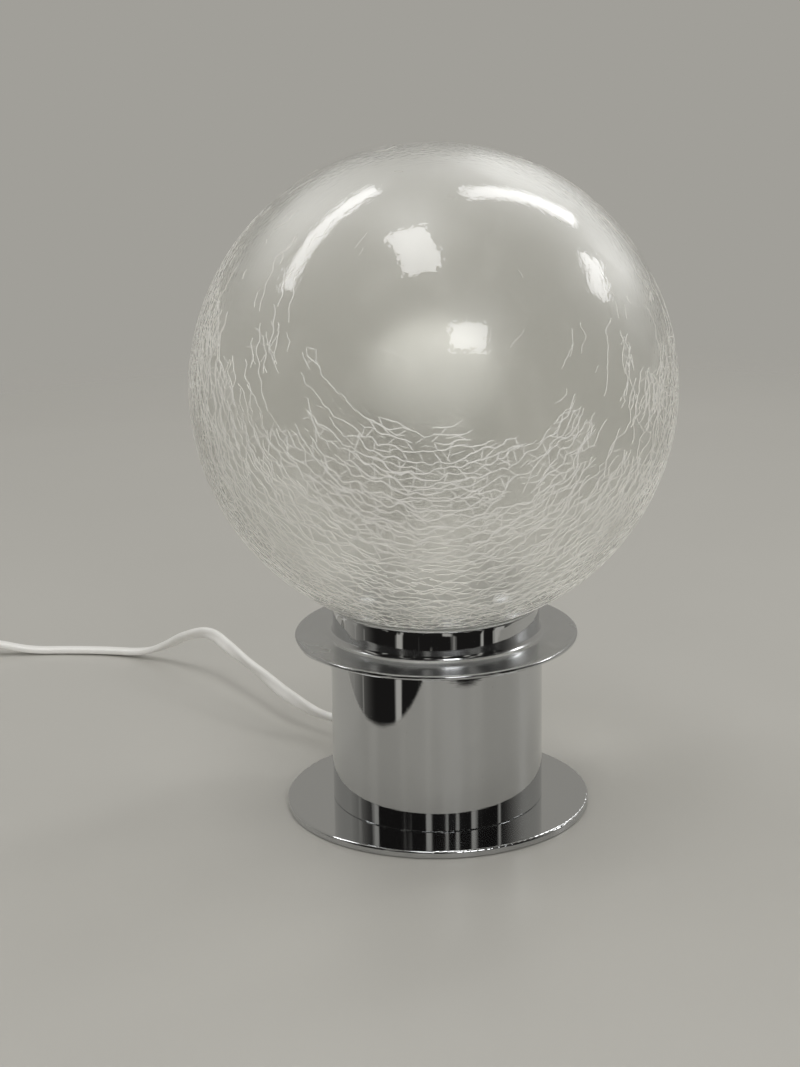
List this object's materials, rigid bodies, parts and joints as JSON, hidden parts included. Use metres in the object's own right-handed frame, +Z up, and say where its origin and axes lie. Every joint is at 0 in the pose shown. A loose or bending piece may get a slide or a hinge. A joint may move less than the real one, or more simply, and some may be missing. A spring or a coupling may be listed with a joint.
{
  "type": "glass globe table lamp",
  "caption": "Table lamp with a crackle-glass globe resting in a chromed gallery on a short tube and a flat round base, with an in-line rocker switch and a flat mains plug.",
  "frame": {"origin": "centre of the base's underside, where the lamp stands", "axes": "+Z up along the lamp's axis, -Y towards the front, +X to the right seen from the front"},
  "size_m": [0.4812, 0.31, 0.282],
  "materials": {
    "felt": "pressed wool felt",
    "chrome": "polished chrome plate on spun steel",
    "iron": "cast iron, dull",
    "steel": "zinc-plated steel",
    "brass": "stamped brass",
    "crackle_glass": "blown crackle glass, faintly milky",
    "frosted_glass": "opal-frosted glass",
    "clear_glass": "clear glass",
    "dark_glass": "dark fused glass",
    "cap_metal": "rolled aluminium",
    "solder": "solder",
    "porcelain": "porcelain",
    "white_pvc": "soft white PVC",
    "white_plastic": "moulded white plastic",
    "core_wire": "insulated copper core",
    "strap": "soft tie strap"
  },
  "bodies": {
    "base": {"felt_pad": "felt", "base_disc": "chrome", "base_weight": "iron", "base_screws": "steel", "body_tube": "chrome", "gallery_collar": "chrome", "bridge_plate": "steel", "tie_tube": "steel", "tie_washer": "steel", "tie_nut": "steel", "clip_rivets": "steel", "globe_clip_1": "steel", "globe_clip_2": "steel", "globe_clip_3": "steel", "holder_dome": "white_plastic", "holder_grub_screw": "steel", "holder_sleeve": "white_plastic", "holder_insert": "porcelain", "thread_shell": "brass", "centre_contact": "brass", "terminal_blocks": "brass", "terminal_screws": "steel", "cord_sleeve": "white_pvc", "inner_cord": "white_pvc", "inner_cores": "core_wire", "cord_clamp": "steel", "clamp_screws": "steel", "cord_to_switch": "white_pvc", "cord_to_coil": "white_pvc", "cord_coil": "white_pvc", "coil_tie": "strap", "cord_to_plug": "white_pvc", "plug_body": "white_plastic", "plug_tail": "white_pvc", "plug_pins": "brass", "plug_pin_sleeves": "white_plastic", "switch_lower": "white_plastic", "switch_upper": "white_plastic", "rocker_pin": "steel", "switch_terminals": "brass", "switch_leaf": "brass", "switch_screws": "steel"},
    "globe": {"glass_globe": "crackle_glass"},
    "bulb_foot": {"bulb_tip": "solder", "bulb_insulator": "dark_glass"},
    "bulb": {"bulb_glass": "frosted_glass", "bulb_cap": "cap_metal", "bulb_stem": "clear_glass", "bulb_filament": "steel"},
    "rocker": {"switch_rocker": "white_plastic"}
  },
  "joints": [
    {"name": "globe_lift", "type": "slide", "parent": "base", "child": "globe", "axis": [0, 0, 1], "range_m": [0, 0.15]},
    {"name": "bulb_rise", "type": "slide", "parent": "base", "child": "bulb_foot", "axis": [0, 0, 1], "range_m": [0, 0.01452]},
    {"name": "bulb_turn", "type": "hinge", "parent": "bulb_foot", "child": "bulb", "pos_m": [0, 0, 0.118], "axis": [0, 0, 1], "range_deg": [0, 1440]},
    {"name": "switch_rock", "type": "hinge", "parent": "base", "child": "rocker", "pos_m": [-0.275, 0.197, 0.0146], "axis": [0, -1, 0], "range_deg": [0, 16]}
  ],
  "couplings": [
    {"joint": "bulb_rise", "follows": "bulb_turn", "m_per_rad": 0.00057757}
  ]
}
